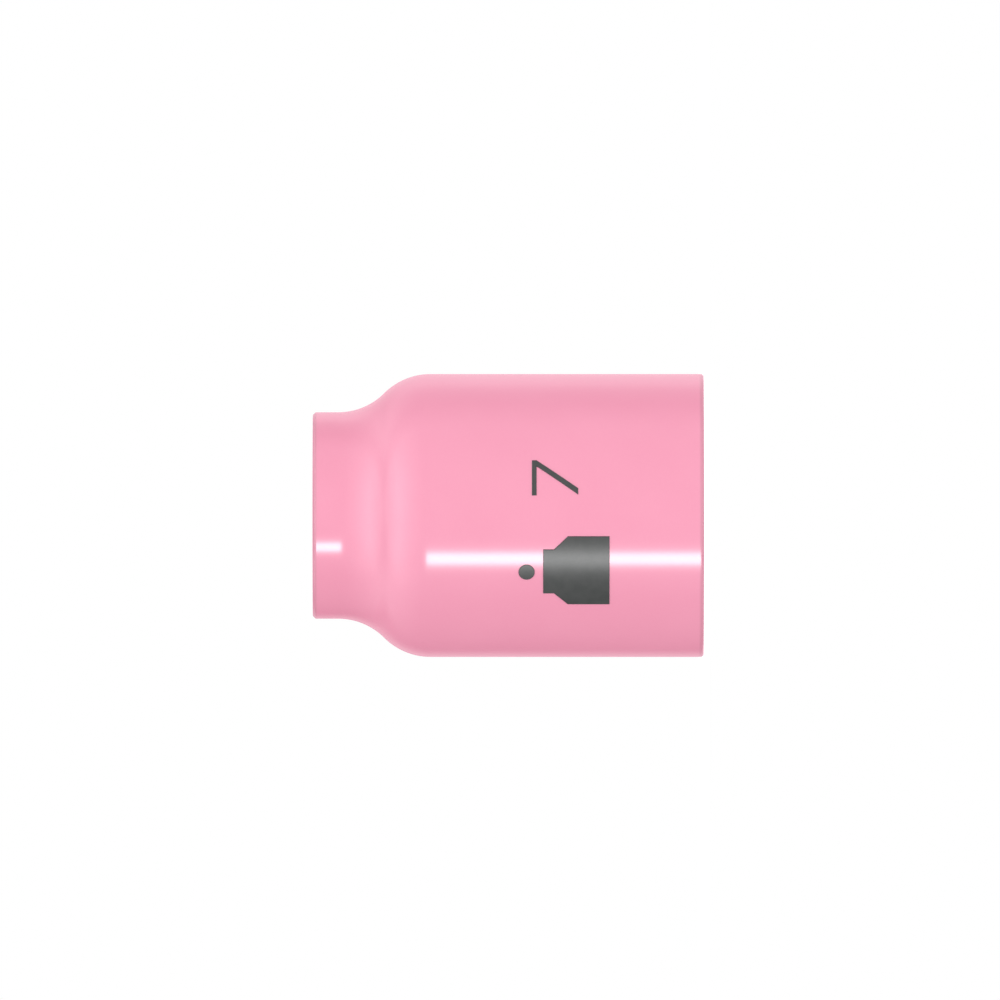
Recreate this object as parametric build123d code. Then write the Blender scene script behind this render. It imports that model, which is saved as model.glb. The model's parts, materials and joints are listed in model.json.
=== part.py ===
from build123d import *
import os
from math import atan, cos, degrees, radians, sin, tan

# Gas nozzle (cup) of a TIG welding torch, the short wide kind that screws over a gas lens: one piece of
# sintered pink alumina with an internal thread at its wide end, a chamber for the lens screens, a rounded
# shoulder and a straight mouth. The size numeral and a plain symbol are fired-on ink.
#
# Millimetres. +Z runs along the axis towards the mouth, z = 0 is the flat threaded end that it stands on,
# and the print faces -Y and reads upright with the mouth up.

# The ceramic's outside
overall_length = 25.4
body_diameter = 18.4
neck_diameter = 13.43
neck_length = 1.64  # straight neck, from the mouth's face to the shoulder
shoulder_slope = 45.0  # degrees from the axis, where the shoulder is steepest
foot_chamfer = 0.12  # 45 degrees, on the threaded end's outer edge
neck_chamfer = 0.18  # 45 degrees, on the mouth's outer edge

# The ceramic's inside
mouth_diameter = 11.1  # size 7, which is seven sixteenths of an inch
mouth_chamfer = 0.15
inner_slope = 45.0  # degrees from the axis, between the chamber and the mouth
chamber_diameter = 14.7  # holds the gas lens screens

# Internal thread, right-handed, 5/8 inch by 18 turns to the inch
thread_major_diameter = 15.875
thread_pitch = 25.4 / 18
thread_flank_angle = 60.0  # degrees between the two flanks of the groove
thread_crest_share = 0.55  # the ridge between turns, as a share of the pitch: blunt, so as not to chip
thread_root_share = 0.125  # the groove's floor, as a share of the pitch
thread_length = 7.2  # from the end face to where the groove starts to run out
run_out_turns = 0.4  # the groove becomes shallow over this much of a turn
thread_land = 1.0  # plain wall between the run-out and the chamber
lead_in_clearance = 0.12  # the lead-in chamfer starts this much outside the thread

# Fired-on print
print_thickness = 0.05
numeral_width = 2.36
numeral_height = 3.0
numeral_bar_stroke = 0.3
numeral_leg_stroke = 0.34
numeral_base_height = 8.16  # foot of the numeral above the threaded end
numeral_angle = 15.5  # degrees round the axis from the front, positive towards +X
symbol_body_width = 4.8  # the symbol is a plain picture of a nozzle with its electrode's tip above the mouth
symbol_body_height = 2.7
symbol_shoulder_height = 0.9
symbol_neck_width = 3.1
symbol_neck_height = 0.7
symbol_gap = 0.55  # between the neck and the tip
symbol_tip_diameter = 1.05
symbol_base_height = 6.13  # foot of the symbol above the threaded end
symbol_angle = -23.5

# Sizes that follow from those
body_radius = body_diameter / 2
neck_radius = neck_diameter / 2
mouth_radius = mouth_diameter / 2
chamber_radius = chamber_diameter / 2
thread_major_radius = thread_major_diameter / 2
thread_flank_slope = tan(radians(thread_flank_angle / 2))
thread_depth = thread_pitch * (1 - thread_crest_share - thread_root_share) / 2 / thread_flank_slope
thread_minor_radius = thread_major_radius - thread_depth
lead_in_radius = thread_major_radius + lead_in_clearance
run_out_height = run_out_turns * thread_pitch
groove_half_floor = thread_root_share * thread_pitch / 2
cutter_overlap = 0.05  # how far a cutter stands out of the surface that it cuts


class TangentStep:
    """Two equal arcs, tangent to each other, that join two straight walls parallel to the axis."""

    def __init__(self, low_radius, high_radius, slope, middle_height):
        turn = radians(slope)
        self.radius = (low_radius - high_radius) / (2 * (1 - cos(turn)))
        half_run = self.radius * sin(turn)
        half_rise = (low_radius - high_radius) / 2
        self.low = (low_radius, middle_height - half_run)
        self.middle = (low_radius - half_rise, middle_height)
        self.high = (high_radius, middle_height + half_run)
        # The two arcs are each half way round where they turn by half the slope.
        bulge = self.radius * (1 - cos(turn / 2))
        reach = self.radius * sin(turn / 2)
        self.low_bulge = (low_radius - bulge, self.low[1] + reach)
        self.high_bulge = (high_radius + bulge, self.high[1] - reach)

    def arcs(self):
        """The step from the low wall to the high one."""
        return [
            ThreePointArc(self.low, self.low_bulge, self.middle),
            ThreePointArc(self.middle, self.high_bulge, self.high),
        ]


def shoulder_steps():
    """The outer shoulder, and the inner one square to it, so that the wall's thickness changes evenly."""
    turn = radians(shoulder_slope)
    outer_run = (body_radius - neck_radius) * sin(turn) / (1 - cos(turn))
    outer_middle = overall_length - neck_length - outer_run / 2
    outer = TangentStep(body_radius, neck_radius, shoulder_slope, outer_middle)
    wall_at_middle = (body_radius + neck_radius - chamber_radius - mouth_radius) / 2
    inner_middle = outer_middle - wall_at_middle * tan(turn)
    inner = TangentStep(chamber_radius, mouth_radius, inner_slope, inner_middle)
    return outer, inner


def cup_blank():
    """The ceramic before its thread: one closed outline turned round the axis."""
    outer, inner = shoulder_steps()
    land_top = thread_length + run_out_height + thread_land
    step = thread_minor_radius - chamber_radius
    lead_in_depth = lead_in_radius - thread_minor_radius
    threaded_end = Polyline(
        (lead_in_radius, 0),
        (body_radius - foot_chamfer, 0),
        (body_radius, foot_chamfer),
        outer.low,
    )
    mouth_end = Polyline(
        outer.high,
        (neck_radius, overall_length - neck_chamfer),
        (neck_radius - neck_chamfer, overall_length),
        (mouth_radius + mouth_chamfer, overall_length),
        (mouth_radius, overall_length - mouth_chamfer),
        inner.high,
    )
    bore = Polyline(
        inner.low,
        (chamber_radius, land_top + step),
        (thread_minor_radius, land_top),
        (thread_minor_radius, lead_in_depth),
        (lead_in_radius, 0),
    )
    outline = Curve() + [threaded_end, *outer.arcs(), mouth_end, *inner.arcs(), bore]
    return revolve(make_face(Plane.XZ * outline), Axis.Z)


def groove_section(path):
    """The thread groove's section in the plane of the axis, at the start of a helical path."""
    start = path @ 0
    outward = Vector(start.X, start.Y, 0).normalized()
    plane = Plane(start, x_dir=outward, z_dir=outward.cross(Vector(0, 0, 1)))
    half_mouth = groove_half_floor + (thread_depth + cutter_overlap) * thread_flank_slope
    corners = [
        (-cutter_overlap, -half_mouth),
        (thread_depth, -groove_half_floor),
        (thread_depth, groove_half_floor),
        (-cutter_overlap, half_mouth),
    ]
    return plane * Polygon(*corners, align=None)


def thread_cutters():
    """The groove's helix, which enters through the end face, and the cone that it runs out on."""
    entry = -thread_pitch
    helix = Helix(thread_pitch, thread_length - entry, thread_minor_radius, center=(0, 0, entry))
    groove = sweep(groove_section(helix), path=helix, is_frenet=True)
    turn = 360 * (thread_length - entry) / thread_pitch
    taper = degrees(atan((thread_depth + cutter_overlap) / run_out_height))
    cone = Helix(thread_pitch, run_out_height, thread_minor_radius, cone_angle=-taper)
    cone = Pos(0, 0, thread_length) * Rot(0, 0, turn) * cone
    run_out = sweep(groove_section(cone), path=cone, is_frenet=True)
    return groove, run_out


def ceramic_cup():
    cup = cup_blank()
    for cutter in thread_cutters():
        cup -= cutter
    return cup


def printed(outline, angle, height):
    """Ink of even thickness on the body, where the outline lands when it is pressed on along a radius."""
    standing = (Align.CENTER, Align.CENTER, Align.MIN)
    ink = Cylinder(body_radius + print_thickness, overall_length, align=standing)
    ink -= Cylinder(body_radius, overall_length, align=standing)
    stamp = extrude(Plane.XZ * outline, body_radius + print_thickness)
    return ink & Rot(0, 0, angle) * Pos(0, 0, height) * stamp


def size_numeral():
    """A plain 7: a bar with a slanting leg from its right-hand end."""
    half = numeral_width / 2
    top = numeral_height
    foot_right = -half + numeral_width * 0.2
    bar_foot = top - numeral_bar_stroke
    slant = (half - foot_right) / bar_foot
    leg = numeral_leg_stroke * (1 + slant**2) ** 0.5
    corners = [
        (half, top),
        (-half, top),
        (-half, bar_foot),
        (half - leg, bar_foot),
        (foot_right - leg, 0),
        (foot_right, 0),
        (half, bar_foot),
    ]
    return printed(Polygon(*corners, align=None), numeral_angle, numeral_base_height)


def symbol_cup():
    """The symbol's nozzle, seen from the side: body, sloping shoulders and neck."""
    half = symbol_body_width / 2
    neck_half = symbol_neck_width / 2
    neck_foot = symbol_body_height + symbol_shoulder_height
    corners = [
        (-half, 0),
        (half, 0),
        (half, symbol_body_height),
        (neck_half, neck_foot),
        (neck_half, neck_foot + symbol_neck_height),
        (-neck_half, neck_foot + symbol_neck_height),
        (-neck_half, neck_foot),
        (-half, symbol_body_height),
    ]
    return printed(Polygon(*corners, align=None), symbol_angle, symbol_base_height)


def symbol_tip():
    """The round tip above the symbol's nozzle."""
    neck_top = symbol_body_height + symbol_shoulder_height + symbol_neck_height
    tip_height = neck_top + symbol_gap + symbol_tip_diameter / 2
    return printed(Circle(symbol_tip_diameter / 2), symbol_angle, symbol_base_height + tip_height)


pieces = {
    "ceramic_cup": ceramic_cup,
    "size_numeral": size_numeral,
    "symbol_cup": symbol_cup,
    "symbol_tip": symbol_tip,
}
os.makedirs("parts", exist_ok=True)
for name, make in pieces.items():
    piece = make()
    piece.label = name
    export_step(piece, f"parts/{name}.step")
    print(name, "volume", round(piece.volume, 3), "mm3, valid", piece.is_valid)
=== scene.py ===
import json
import math

import bpy
from mathutils import Matrix, Vector

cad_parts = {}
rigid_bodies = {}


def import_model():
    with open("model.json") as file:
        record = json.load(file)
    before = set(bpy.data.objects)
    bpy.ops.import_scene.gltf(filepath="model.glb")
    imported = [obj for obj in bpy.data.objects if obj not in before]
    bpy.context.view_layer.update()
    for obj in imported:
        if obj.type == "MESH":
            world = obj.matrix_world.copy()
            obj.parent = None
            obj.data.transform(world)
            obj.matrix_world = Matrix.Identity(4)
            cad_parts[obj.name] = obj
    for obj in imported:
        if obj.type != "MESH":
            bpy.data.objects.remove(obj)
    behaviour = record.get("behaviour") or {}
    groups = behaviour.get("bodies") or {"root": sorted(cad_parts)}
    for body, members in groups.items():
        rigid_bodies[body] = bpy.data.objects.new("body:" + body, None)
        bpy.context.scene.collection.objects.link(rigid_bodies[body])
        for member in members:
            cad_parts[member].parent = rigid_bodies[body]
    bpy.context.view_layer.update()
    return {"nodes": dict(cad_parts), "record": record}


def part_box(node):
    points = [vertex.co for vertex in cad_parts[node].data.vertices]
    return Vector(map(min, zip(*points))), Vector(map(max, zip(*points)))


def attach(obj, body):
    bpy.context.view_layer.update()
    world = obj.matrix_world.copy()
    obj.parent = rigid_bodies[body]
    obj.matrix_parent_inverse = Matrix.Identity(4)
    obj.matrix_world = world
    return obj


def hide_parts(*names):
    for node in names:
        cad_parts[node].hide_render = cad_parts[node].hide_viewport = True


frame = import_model()
print("frame loaded:", ", ".join(sorted(frame["nodes"])))

mm = 0.001
samePlace = mm / 1000  # points nearer than this are one point
smoothBelow = math.radians(30)  # faces that meet at less than this are shaded as one
mounts = {mount["name"]: mount for mount in frame["record"]["mounts"]}
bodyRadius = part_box("ceramic_cup")[1].x
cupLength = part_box("ceramic_cup")[1].z
neckRadius = 6.715 * mm


def boreRadius(name):
    return mounts[name]["dims"]["r_mm"] * mm


def boreEnds(name):
    # a bore's place in the record is the middle of its wall
    middle = mounts[name]["pos_m"][2]
    half = mounts[name]["dims"]["length_mm"] * mm / 2
    return middle - half, middle + half


# Drawing and finishing a piece

def selectWhere(test):
    mesh = bpy.context.object.data
    bpy.ops.mesh.select_all(action="DESELECT")
    bpy.ops.object.mode_set(mode="OBJECT")
    for vertex in mesh.vertices:
        vertex.select = test(vertex.co)
    bpy.ops.object.mode_set(mode="EDIT")
    bpy.ops.mesh.select_mode(type="VERT")


def drawLoop(name, points):
    # a plane merged to one vertex, which is drawn out along the points and joined up
    bpy.ops.object.select_all(action="DESELECT")
    bpy.ops.mesh.primitive_plane_add(size=mm)
    piece = bpy.context.object
    piece.name = name
    bpy.ops.object.mode_set(mode="EDIT")
    bpy.ops.mesh.merge(type="CENTER")
    bpy.ops.transform.translate(value=points[0])
    for here, there in zip(points, points[1:]):
        bpy.ops.mesh.extrude_vertices_move(TRANSFORM_OT_translate={"value": there - here})
    ends = points[0], points[-1]
    selectWhere(lambda place: min((place - end).length for end in ends) < samePlace)
    bpy.ops.mesh.edge_face_add()
    return piece


def applyModifier(piece, kind, settings):
    modifier = piece.modifiers.new(kind.lower(), kind)
    for name, setting in settings.items():
        setattr(modifier, name, setting)
    bpy.ops.object.modifier_apply(modifier=modifier.name)


def closeSkin():
    bpy.ops.mesh.select_all(action="SELECT")
    bpy.ops.mesh.remove_doubles(threshold=samePlace / 10)
    bpy.ops.mesh.normals_make_consistent(inside=False)
    bpy.ops.object.mode_set(mode="OBJECT")


def finishPiece(piece, node, material):
    bpy.ops.object.shade_smooth_by_angle(angle=smoothBelow)
    piece.data.name = piece.name
    piece.data.materials.clear()
    piece.data.materials.append(material)
    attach(piece, "root")
    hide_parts(node)
    print(piece.name, "made,", len(piece.data.polygons), "faces")


# Shader nodes

class Value:
    # one output socket; sums on it add Math nodes
    def __init__(self, sheet, socket):
        self.sheet = sheet
        self.socket = socket

    def math(self, operation, *others):
        return self.sheet.math(operation, self, *others)

    def __add__(self, other):
        return self.math("ADD", other)

    def __sub__(self, other):
        return self.math("SUBTRACT", other)

    def __rsub__(self, other):
        return self.sheet.math("SUBTRACT", other, self)

    def __mul__(self, other):
        return self.math("MULTIPLY", other)

    def __truediv__(self, other):
        return self.math("DIVIDE", other)

    def __pow__(self, other):
        return self.math("POWER", other)

    __radd__ = __add__
    __rmul__ = __mul__

    def rise(self, low, high):
        # 0 below low, 1 above high, smooth between
        return self.sheet.node("ShaderNodeMapRange", {"Value": self, "From Min": low, "From Max": high},
                               {"interpolation_type": "SMOOTHSTEP"})


class Sheet:
    # the node tree of a material or of the world
    def __init__(self, tree):
        self.tree = tree
        tree.nodes.clear()

    def node(self, kind, inputs, settings=None, output=0):
        made = self.tree.nodes.new(kind)
        for name, setting in (settings or {}).items():
            if name == "stops":
                self.setStops(made.color_ramp, setting)
            else:
                setattr(made, name, setting)
        for name, value in inputs.items():
            if isinstance(value, Value):
                self.tree.links.new(value.socket, made.inputs[name])
            else:
                made.inputs[name].default_value = value
        return Value(self, made.outputs[output]) if made.outputs else made

    def setStops(self, ramp, stops):
        while len(ramp.elements) < len(stops):
            ramp.elements.new(1)
        for element, (place, grey) in zip(ramp.elements, stops):
            element.position = place
            element.color = (grey, grey, grey, 1)

    def math(self, operation, *values):
        return self.node("ShaderNodeMath", dict(enumerate(values)), {"operation": operation})

    def mixColour(self, factor, first, second):
        # 0, 6, 7 and 2 are the node's factor, its two colours and its mixed colour
        return self.node("ShaderNodeMix", {0: factor, 6: first, 7: second}, {"data_type": "RGBA"}, output=2)

    def ramp(self, factor, stops):
        # grey, linear between the stops
        colour = self.node("ShaderNodeValToRGB", {"Fac": factor}, {"stops": stops})
        return self.node("ShaderNodeRGBToBW", {"Color": colour})

    def noise(self, place, perMm, detail):
        return self.node("ShaderNodeTexNoise", {"Vector": place, "Scale": perMm, "Detail": detail})

    def objectPlace(self):
        # place on the piece, in millimetres
        place = self.node("ShaderNodeTexCoord", {}, output="Object")
        return self.node("ShaderNodeVectorMath", {0: place, "Scale": 1 / mm}, {"operation": "SCALE"})

    def parts(self, vector):
        return [self.node("ShaderNodeSeparateXYZ", {"Vector": vector}, output=axis) for axis in "XYZ"]


def rgb(red, green, blue):
    return red, green, blue, 1


def newMaterial(name):
    material = bpy.data.materials.new(name)
    material.use_nodes = True
    return material, Sheet(material.node_tree)


# Materials

# lengths are in millimetres, and the scale of a noise is in cells to the millimetre
alumina = {
    "fired": rgb(0.88, 0.318, 0.457),
    "deep": rgb(0.84, 0.285, 0.42),
    "deepShare": 0.3,  # how far the clouds go towards the deep colour
    "pale": rgb(0.90, 0.365, 0.50),
    "paleShare": 0.12,  # how far the grain goes towards the pale colour
    "paleInside": 0.5,
    "paleEnds": 0.3,
    "speck": rgb(0.50, 0.17, 0.22),
    "speckShare": 0.35,
    "edge": rgb(0.69, 0.266, 0.367),  # painted shade: a darker band round the chamfers at the two ends
    "rim": rgb(1, 0.36, 0.52),  # light scattered by the glassy skin where it is seen edge on
    "sheen": 0.5,
    "sheenRoughness": 0.5,
    "refraction": 1.5,
    "skinRoughness": 0.195,
    "endRoughness": 0.42,
    "boreRoughness": 0.5,
    "grainRoughness": 0.02,
    "cloudRoughness": 0.01,
    "cloudScale": 0.22,
    "cloudSpan": (0.3, 0.7),
    "grainScale": 7,
    "grainSpan": (0.35, 0.75),
    "fineScale": 28,
    "speckScale": 0.55,
    "speckRadius": (0.02, 0.05),  # in cells
    "speckChance": (0.82, 0.86),  # only cells above this have a speck
    "grainRelief": 0.4,
    "fineRelief": 0.3,
    "unglazedRelief": 2,  # more of the fine relief, on the ends and in the bore
    "bumpHeight": 0.02,
    "bumpStrength": 0.06,
    "endDepth": (0.004, 0.03),  # the ends' ground surface stops between these depths
    "edgePatches": 0.5,  # how far the grain breaks up the painted shade at the ends
    # how far along the axis the painted shade reaches from each end
    "edgeWidth": 0.32,
    "edgeDepth": 0.25,  # how far the painted shade reaches in from the outside, on the end faces
    "outside": (bodyRadius / mm, neckRadius / mm),
    "wallMiddle": (8.5, 6.13),  # radius halfway through the wall, at the body and at the neck
    "insideBlend": 0.05,
    "shoulderHeights": (17.5, 22.5),
}


def makeAlumina():
    material, sheet = newMaterial("pinkAlumina")
    place = sheet.objectPlace()
    x, y, height = sheet.parts(place)
    radius = (x * x + y * y) ** 0.5
    climb = height.rise(*alumina["shoulderHeights"])
    spans = alumina["outside"], alumina["wallMiddle"]
    outside, middle = (atBody + (atNeck - atBody) * climb for atBody, atNeck in spans)
    inside = (middle - radius).rise(0, alumina["insideBlend"])
    fromEnd = height.math("MINIMUM", cupLength / mm - height)
    cloud = sheet.noise(place, alumina["cloudScale"], 3)
    grain = sheet.noise(place, alumina["grainScale"], 2)
    fine = sheet.noise(place, alumina["fineScale"], 2)
    # ground ends are matt, and a painted shade darkens their chamfers
    ground = 1 - fromEnd.rise(*alumina["endDepth"])
    edge = 1 - fromEnd.rise(alumina["edgeWidth"] / 2, alumina["edgeWidth"])
    edge = edge * (1 - (outside - radius).rise(alumina["edgeDepth"] / 2, alumina["edgeDepth"]))
    edge = edge * (1 + alumina["edgePatches"] * (grain - 0.5))
    # a few iron specks
    cell = {"Vector": place, "Scale": alumina["speckScale"]}
    distance = sheet.node("ShaderNodeTexVoronoi", cell)
    chance = sheet.parts(sheet.node("ShaderNodeTexVoronoi", cell, output="Color"))[0]
    speck = (1 - distance.rise(*alumina["speckRadius"])) * chance.rise(*alumina["speckChance"])

    clouded = cloud.rise(*alumina["cloudSpan"]) * alumina["deepShare"]
    grained = grain.rise(*alumina["grainSpan"]) * alumina["paleShare"]
    unglazed = inside * alumina["paleInside"] + ground * alumina["paleEnds"]
    colour = sheet.mixColour(clouded, alumina["fired"], alumina["deep"])
    colour = sheet.mixColour(grained, colour, alumina["pale"])
    colour = sheet.mixColour(unglazed, colour, alumina["pale"])
    # the painted shade round the two ends
    colour = sheet.mixColour(edge, colour, alumina["edge"])
    colour = sheet.mixColour(speck * alumina["speckShare"], colour, alumina["speck"])

    skin = alumina["skinRoughness"]
    roughness = skin + alumina["grainRoughness"] * (grain - 0.5) + alumina["cloudRoughness"] * (cloud - 0.5)
    roughness = roughness + inside * (alumina["boreRoughness"] - skin)
    roughness = roughness + ground * (alumina["endRoughness"] - skin) * (1 - inside)
    # the unglazed surfaces are rougher, and each speck is a pit
    relief = alumina["fineRelief"] + alumina["unglazedRelief"] * inside + alumina["unglazedRelief"] * ground
    relief = grain * alumina["grainRelief"] + fine * relief + speck * -1
    bump = sheet.node("ShaderNodeBump", {"Strength": alumina["bumpStrength"],
                                         "Distance": alumina["bumpHeight"] * mm, "Height": relief})
    surface = sheet.node("ShaderNodeBsdfPrincipled", {
        "Base Color": colour, "Roughness": roughness, "Normal": bump, "IOR": alumina["refraction"],
        "Sheen Weight": alumina["sheen"], "Sheen Roughness": alumina["sheenRoughness"],
        "Sheen Tint": alumina["rim"]})
    sheet.node("ShaderNodeOutputMaterial", {"Surface": surface})
    return material


ink = {
    "dark": rgb(0.028, 0.031, 0.03),
    "worn": rgb(0.06, 0.06, 0.06),
    "roughness": 0.3,
    "grainRoughness": 0.06,
    "refraction": 1.45,
    "cloudScale": 1.1,
    "cloudSpan": (0.35, 0.7),
    "cloudShare": 0.35,  # how far the clouds go towards the worn colour
    "grainScale": 14,
    "grainSpan": (0.55, 0.8),
    "grainShare": 0.2,
    "bumpHeight": 0.01,
    "bumpStrength": 0.1,
}


def makeInk():
    material, sheet = newMaterial("firedInk")
    place = sheet.objectPlace()
    cloud = sheet.noise(place, ink["cloudScale"], 3)
    grain = sheet.noise(place, ink["grainScale"], 2)
    clouded = cloud.rise(*ink["cloudSpan"]) * ink["cloudShare"]
    worn = clouded + grain.rise(*ink["grainSpan"]) * ink["grainShare"]
    colour = sheet.mixColour(worn, ink["dark"], ink["worn"])
    roughness = ink["roughness"] + ink["grainRoughness"] * (grain - 0.5)
    bump = sheet.node("ShaderNodeBump", {"Strength": ink["bumpStrength"],
                                         "Distance": ink["bumpHeight"] * mm, "Height": grain})
    surface = sheet.node("ShaderNodeBsdfPrincipled", {
        "Base Color": colour, "Roughness": roughness, "Normal": bump, "IOR": ink["refraction"]})
    sheet.node("ShaderNodeOutputMaterial", {"Surface": surface})
    return material


pinkAlumina = makeAlumina()
firedInk = makeInk()
print("materials made")


# The ceramic cup

cup = {
    "segments": 256,  # round the axis
    "arcSteps": 20,  # along each arc of a shoulder
    "neckLength": 1.64 * mm,
    "shoulderSlope": math.radians(45),
    "footChamfer": 0.12 * mm,
    "neckChamfer": 0.18 * mm,
    "mouthChamfer": 0.15 * mm,
    "edgeRounding": 0.04 * mm,
    "edgeSteps": 3,
    "sharpTurn": math.radians(20),  # the outline's corners that turn more than this are rounded
    "longWall": 0.6 * mm,  # walls longer than this are held straight
    "hold": 0.1 * mm,  # from a long wall's end to the ring that holds it
}
thread = {
    "pitch": 25.4 / 18 * mm,
    "majorRadius": 15.875 / 2 * mm,
    "flankSlope": math.tan(math.radians(30)),  # height gained along a flank, for each step outwards
    "rootShare": 0.125,  # of the pitch, at the groove's floor
    "length": 7.2 * mm,
    "runOutTurns": 0.4,
    "overlap": 0.05 * mm,  # the cutter stands this far out of the wall
}


def ringPoint(radius, height):
    return Vector((radius, 0, height))


def shoulderPoints(lowRadius, highRadius, middleHeight):
    # two equal arcs, tangent to each other and to the walls that they join
    turn = cup["shoulderSlope"]
    arcRadius = (lowRadius - highRadius) / 2 / (1 - math.cos(turn))
    halfRun = arcRadius * math.sin(turn)
    angles = [turn * step / cup["arcSteps"] for step in range(cup["arcSteps"] + 1)]
    lower = []
    upper = []
    for angle in angles:
        inwards = arcRadius * (1 - math.cos(angle))
        along = arcRadius * math.sin(angle)
        lower.append(ringPoint(lowRadius - inwards, middleHeight - halfRun + along))
        upper.append(ringPoint(highRadius + inwards, middleHeight + halfRun - along))
    # both arcs end at the same point in the middle
    return lower + upper[-2::-1]


def cupOutline():
    mouth = boreRadius("gas_outlet")
    chamber = boreRadius("lens_chamber")
    crest = boreRadius("thread")
    leadInTop, landTop = boreEnds("thread")
    chamberBottom, chamberTop = boreEnds("lens_chamber")
    outletBottom = boreEnds("gas_outlet")[0]
    slope = cup["shoulderSlope"]
    outerRun = (bodyRadius - neckRadius) * math.sin(slope) / (1 - math.cos(slope))
    outerMiddle = cupLength - cup["neckLength"] - outerRun / 2
    outside = [
        ringPoint(crest + leadInTop, 0),
        ringPoint(bodyRadius - cup["footChamfer"], 0),
        ringPoint(bodyRadius, cup["footChamfer"]),
        *shoulderPoints(bodyRadius, neckRadius, outerMiddle),
        ringPoint(neckRadius, cupLength - cup["neckChamfer"]),
        ringPoint(neckRadius - cup["neckChamfer"], cupLength),
    ]
    inside = [
        ringPoint(mouth + cup["mouthChamfer"], cupLength),
        ringPoint(mouth, cupLength - cup["mouthChamfer"]),
        *reversed(shoulderPoints(chamber, mouth, (chamberTop + outletBottom) / 2)),
        ringPoint(chamber, chamberBottom),
        ringPoint(crest, landTop),
        ringPoint(crest, leadInTop),
    ]
    return outside + inside


def holdWalls(outline):
    # a ring near each end of a long wall keeps its shading straight right up to the rounded corners
    held = []
    for here, ahead in zip(outline, outline[1:] + outline[:1]):
        wall = ahead - here
        held.append(here)
        if wall.length > cup["longWall"]:
            step = wall.normalized() * cup["hold"]
            held += [here + step, ahead - step]
    return held


def makeThreadCutter():
    entry = -thread["pitch"]
    crest = boreRadius("thread")
    depth = thread["majorRadius"] - crest
    halfFloor = thread["rootShare"] * thread["pitch"] / 2
    halfMouth = halfFloor + (depth + thread["overlap"]) * thread["flankSlope"]
    corners = [
        ringPoint(crest - thread["overlap"], entry - halfMouth),
        ringPoint(crest + depth, entry - halfFloor),
        ringPoint(crest + depth, entry + halfFloor),
        ringPoint(crest - thread["overlap"], entry + halfMouth),
    ]
    cutter = drawLoop("threadCutter", corners)
    bpy.ops.object.mode_set(mode="OBJECT")
    fullTurns = (thread["length"] - entry) / thread["pitch"]
    turns = fullTurns + thread["runOutTurns"]
    steps = round(turns * cup["segments"])
    applyModifier(cutter, "SCREW", {
        "axis": "Z", "angle": turns * math.tau, "iterations": 1, "steps": steps, "render_steps": steps,
        "screw_offset": turns * thread["pitch"]})
    # each section of the run-out stands further in, until the groove has no depth left
    for vertex in cutter.data.vertices:
        turnsDone = vertex.index // len(corners) / cup["segments"]
        shallower = max(0, turnsDone - fullTurns) / thread["runOutTurns"]
        radial = Vector((vertex.co.x, vertex.co.y, 0)).normalized()
        vertex.co -= radial * (shallower * (depth + thread["overlap"]))
    bpy.ops.object.mode_set(mode="EDIT")
    bpy.ops.mesh.select_all(action="DESELECT")
    bpy.ops.mesh.select_non_manifold()
    bpy.ops.mesh.fill_holes(sides=0)
    closeSkin()
    return cutter


def makeCup():
    outline = holdWalls(cupOutline())
    piece = drawLoop("pinkCeramicCup", outline)
    # the rounded corners are where the outline turns sharply
    before = outline[-1:] + outline[:-1]
    after = outline[1:] + outline[:1]
    sharp = [here for last, here, ahead in zip(before, outline, after)
             if (here - last).angle(ahead - here) > cup["sharpTurn"]]
    selectWhere(lambda place: min((place - corner).length for corner in sharp) < samePlace)
    bpy.ops.mesh.bevel(offset=cup["edgeRounding"], segments=cup["edgeSteps"], affect="VERTICES")
    bpy.ops.mesh.select_all(action="SELECT")
    bpy.ops.mesh.spin(steps=cup["segments"], angle=math.tau, center=(0, 0, 0), axis=(0, 0, 1),
                      use_auto_merge=True)
    closeSkin()
    cutter = makeThreadCutter()
    bpy.ops.object.select_all(action="DESELECT")
    bpy.context.view_layer.objects.active = piece
    piece.select_set(True)
    applyModifier(piece, "BOOLEAN", {"operation": "DIFFERENCE", "object": cutter, "solver": "MANIFOLD"})
    bpy.data.objects.remove(cutter)
    finishPiece(piece, "ceramic_cup", pinkAlumina)


makeCup()


# The fired-on print

numeral = {
    "width": 2.36 * mm,
    "height": 3 * mm,
    "barStroke": 0.3 * mm,
    "legStroke": 0.34 * mm,
    "footShare": 0.2,  # of the width, from the left to the leg's right-hand side
    "angle": math.radians(15.5),  # round the axis from the front
    "base": 8.16 * mm,
}
symbol = {
    "bodyWidth": 4.8 * mm,
    "bodyHeight": 2.7 * mm,
    "shoulderHeight": 0.9 * mm,
    "neckWidth": 3.1 * mm,
    "neckHeight": 0.7 * mm,
    "gap": 0.55 * mm,
    "tipRadius": 0.525 * mm,
    "tipSegments": 64,
    "angle": math.radians(-23.5),
    "base": 6.13 * mm,
}
film = {
    "thickness": 0.05 * mm,
    "sunk": 0.01 * mm,
    "edge": 0.018 * mm,
    "edgeSteps": 2,
    "border": 0.04 * mm,
    "strip": 0.12 * mm,  # width of the upright strips that let a mark follow the round body
}


def pressOn(piece, angle, height):
    # drawn flat, facing -Y: each point goes straight along Y onto the body, and the mark is then turned
    # round the axis to its place
    turned = Matrix.Rotation(angle, 4, "Z")
    for vertex in piece.data.vertices:
        across, depth, up = vertex.co
        layer = bodyRadius - depth
        vertex.co = turned @ Vector((across, -math.sqrt(layer**2 - across**2), up + height))


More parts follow.
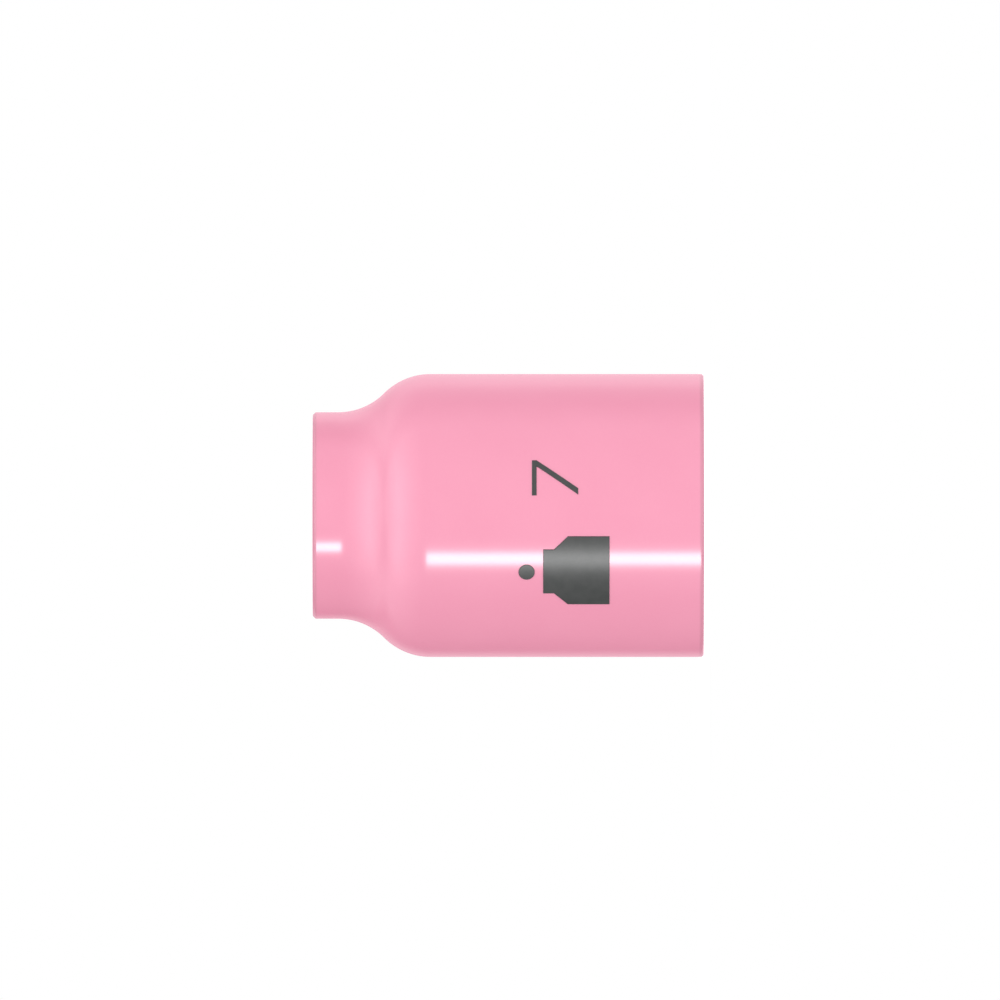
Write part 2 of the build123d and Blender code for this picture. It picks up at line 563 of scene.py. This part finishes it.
def thickenFilm():
    # from a flat face to a film with a softened rim, sunk a little into the ceramic
    bpy.ops.mesh.select_all(action="SELECT")
    bpy.ops.transform.translate(value=(0, film["sunk"], 0))
    outwards = (0, -film["thickness"] - film["sunk"], 0)
    bpy.ops.mesh.extrude_region_move(TRANSFORM_OT_translate={"value": outwards})
    # a narrow border inside the rim keeps the rest of the film's shading flat
    bpy.ops.mesh.inset(thickness=film["border"])
    bpy.ops.mesh.select_more()
    bpy.ops.mesh.region_to_loop()
    bpy.ops.mesh.bevel(offset=film["edge"], segments=film["edgeSteps"], affect="EDGES")
    closeSkin()


def makeMark(name, corners, place, node):
    piece = drawLoop(name, corners)
    bpy.ops.mesh.select_all(action="SELECT")
    bpy.ops.mesh.edge_face_add()
    left = min(corner.x for corner in corners)
    width = max(corner.x for corner in corners) - left
    strips = round(width / film["strip"])
    for cut in range(1, strips):
        bpy.ops.mesh.select_all(action="SELECT")
        bpy.ops.mesh.bisect(plane_co=(left + width * cut / strips, 0, 0), plane_no=(1, 0, 0))
    thickenFilm()
    pressOn(piece, place["angle"], place["base"])
    finishPiece(piece, node, firedInk)


def makeNumeral():
    half = numeral["width"] / 2
    top = numeral["height"]
    barFoot = top - numeral["barStroke"]
    footRight = -half + numeral["width"] * numeral["footShare"]
    slant = (half - footRight) / barFoot
    leg = numeral["legStroke"] * math.hypot(1, slant)
    corners = [
        ringPoint(half, top),
        ringPoint(-half, top),
        ringPoint(-half, barFoot),
        ringPoint(half - leg, barFoot),
        ringPoint(footRight - leg, 0),
        ringPoint(footRight, 0),
        ringPoint(half, barFoot),
    ]
    makeMark("sizeNumeral", corners, numeral, "size_numeral")


def makeSymbolCup():
    half = symbol["bodyWidth"] / 2
    neckHalf = symbol["neckWidth"] / 2
    neckFoot = symbol["bodyHeight"] + symbol["shoulderHeight"]
    corners = [
        ringPoint(-half, 0),
        ringPoint(half, 0),
        ringPoint(half, symbol["bodyHeight"]),
        ringPoint(neckHalf, neckFoot),
        ringPoint(neckHalf, neckFoot + symbol["neckHeight"]),
        ringPoint(-neckHalf, neckFoot + symbol["neckHeight"]),
        ringPoint(-neckHalf, neckFoot),
        ringPoint(-half, symbol["bodyHeight"]),
    ]
    makeMark("symbolCup", corners, symbol, "symbol_cup")


def makeSymbolTip():
    radius = symbol["tipRadius"]
    middle = symbol["bodyHeight"] + symbol["shoulderHeight"] + symbol["neckHeight"] + symbol["gap"] + radius
    turns = [math.tau * step / symbol["tipSegments"] for step in range(symbol["tipSegments"])]
    corners = [ringPoint(radius * math.cos(turn), middle + radius * math.sin(turn)) for turn in turns]
    makeMark("symbolTip", corners, symbol, "symbol_tip")


makeNumeral()
makeSymbolCup()
makeSymbolTip()


# The studio

floorPlan = {
    "radius": 70 * mm,
    "corners": 96,
    "pale": rgb(0.9, 0.9, 0.9),
    "dull": rgb(0.86, 0.86, 0.86),
    "dullShare": 0.1,
    "mottleScale": 0.05,
    "roughness": 0.9,
    "glow": 0.35,
}


def makeFloor():
    bpy.ops.object.select_all(action="DESELECT")
    bpy.ops.mesh.primitive_circle_add(
        vertices=floorPlan["corners"], radius=floorPlan["radius"], fill_type="NGON")
    floor = bpy.context.object
    floor.name = "studioFloor"
    material, sheet = newMaterial("paleFloor")
    mottle = sheet.noise(sheet.objectPlace(), floorPlan["mottleScale"], 3)
    colour = sheet.mixColour(mottle * floorPlan["dullShare"], floorPlan["pale"], floorPlan["dull"])
    surface = sheet.node("ShaderNodeBsdfPrincipled", {
        "Base Color": colour, "Roughness": floorPlan["roughness"], "Specular IOR Level": 0,
        "Emission Color": rgb(1, 1, 1), "Emission Strength": floorPlan["glow"]})
    sheet.node("ShaderNodeOutputMaterial", {"Surface": surface})
    floor.data.materials.append(material)
    # the room lights the cup from all round, so the floor neither stops nor throws back any light
    floor.visible_diffuse = False
    floor.visible_glossy = False
    floor.visible_shadow = False


# The room's light and walls are brightness round the axis, by degrees from the front towards +X.
# A white ring stands beyond each end. Its height is by the sine of the angle above the middle, and its side
# runs from the back (0) to the front (1).
room = {
    "light": [  # what falls on matt surfaces
        (-180, 1.64), (-135, 1.29), (-90, 0.79), (-40, 0.91), (0, 1.19), (25, 1.45), (50, 1.05), (90, 0.56),
        (130, 1.2), (180, 1.64)],
    "walls": [  # what glossy surfaces mirror
        (-180, 0.68), (-160, 0.68), (-151, 0.4), (-142, 0.1), (-134, 0.12), (-118, 0.32), (-96, 0.72),
        (-72, 1), (-56, 1.35), (0, 1.65), (64, 1.55), (76, 1.65), (88, 1.2), (104, 0.6), (122, 0.8),
        (136, 1.25), (152, 1), (168, 0.85), (180, 0.7)],
    "peak": 1.7,  # no light or wall is brighter
    "backDrop": 0.4,  # the upper and lower parts of the back wall are darker by this share
    "backDropHeight": (0.1, 0.5),
    "backDropDepth": (0, 0.8),
    "floorDrop": 0.5,  # what is mirrored from below is darker by this share
    "floorDropHeight": (0.3, 0.8),
    "ring": 3,
    "ringHeight": [(0.2, 0), (0.52, 0.33), (0.715, 0.72), (0.838, 1), (0.93, 0.68), (0.975, 0.42), (1, 0.38)],
    "ringSide": [(0, 0), (0.08, 0.05), (0.22, 0.5), (0.5, 0.45), (0.63, 0.65), (0.9, 1)],
}


def aroundStops(stops):
    # a ramp's places and greys run from 0 to 1
    return [(degrees / 360 + 0.5, brightness / room["peak"]) for degrees, brightness in stops]


def makeRoom():
    world = bpy.data.worlds.new("softRoom")
    world.use_nodes = True
    # matt and glossy surfaces see different rooms, so the rays have to find the room by themselves
    world.cycles.sampling_method = "NONE"
    bpy.context.scene.world = world
    sheet = Sheet(world.node_tree)
    x, y, z = sheet.parts(sheet.node("ShaderNodeTexCoord", {}, output="Generated"))
    turn = x.math("ARCTAN2", y * -1) / math.tau + 0.5
    light = sheet.ramp(turn, aroundStops(room["light"])) * room["peak"]
    walls = sheet.ramp(turn, aroundStops(room["walls"])) * room["peak"]
    behind = y / (x * x + y * y) ** 0.5
    height = z.math("ABSOLUTE")
    backDrop = height.rise(*room["backDropHeight"]) * behind.rise(*room["backDropDepth"]) * room["backDrop"]
    floorDrop = (z * -1).rise(*room["floorDropHeight"]) * room["floorDrop"]
    ring = sheet.ramp(height, room["ringHeight"]) * sheet.ramp(0.5 - behind / 2, room["ringSide"])
    mirrored = (walls * (1 - backDrop) + ring * room["ring"]) * (1 - floorDrop)
    isCamera = sheet.node("ShaderNodeLightPath", {}, output="Is Camera Ray")
    isDiffuse = sheet.node("ShaderNodeLightPath", {}, output="Is Diffuse Ray")
    strength = isDiffuse * light + (1 - isDiffuse) * mirrored
    seen = sheet.node("ShaderNodeBackground", {"Color": rgb(1, 1, 1), "Strength": 1})
    lit = sheet.node("ShaderNodeBackground", {"Color": rgb(1, 1, 1), "Strength": strength})
    both = sheet.node("ShaderNodeMixShader", {0: isCamera, 1: lit, 2: seen})
    sheet.node("ShaderNodeOutputWorld", {"Surface": both})


key = {
    "turn": math.radians(-35.5),  # from the front
    "width": math.radians(9.4),  # as the object sees it, round the axis
    "height": math.radians(13),  # as the object sees it, along the axis
    "distance": 1.2,
    "radiance": 22.2,
}


def makeKeyLight():
    towards = Vector((math.sin(key["turn"]), -math.cos(key["turn"]), 0))
    light = bpy.data.lights.new("keyLight", "AREA")
    light.shape = "RECTANGLE"
    light.size = 2 * key["distance"] * math.tan(key["width"] / 2)
    light.size_y = 2 * key["distance"] * math.tan(key["height"] / 2)
    light.energy = math.pi * light.size * light.size_y * key["radiance"]
    holder = bpy.data.objects.new("keyLight", light)
    holder.location = Vector((0, 0, cupLength / 2)) + towards * key["distance"]
    holder.rotation_euler = towards.to_track_quat("Z", "Y").to_euler()
    holder.visible_camera = False
    holder.visible_diffuse = False
    bpy.context.scene.collection.objects.link(holder)


view = {
    "lens": 1650,
    "sensor": 36,
    "width": 65.03 * mm,  # what the camera takes in, at the axis
    "middle": (1.007 * mm, 0, 13.23 * mm),
}


def makeCamera():
    # looks along +Y and lies on its side, so that the mouth points to the left
    camera = bpy.data.cameras.new("studioCamera")
    camera.lens = view["lens"]
    camera.sensor_width = view["sensor"]
    holder = bpy.data.objects.new("studioCamera", camera)
    distance = view["width"] * view["lens"] / view["sensor"]
    right, up, back = Vector((0, 0, -1)), Vector((1, 0, 0)), Vector((0, -1, 0))
    turned = Matrix((right, up, back)).transposed().to_4x4()
    holder.matrix_world = Matrix.Translation(Vector(view["middle"]) + back * distance) @ turned
    bpy.context.scene.collection.objects.link(holder)
    bpy.context.scene.camera = holder


makeFloor()
makeRoom()
makeKeyLight()
makeCamera()
bpy.context.scene.view_settings.view_transform = "Standard"
print("studio ready")
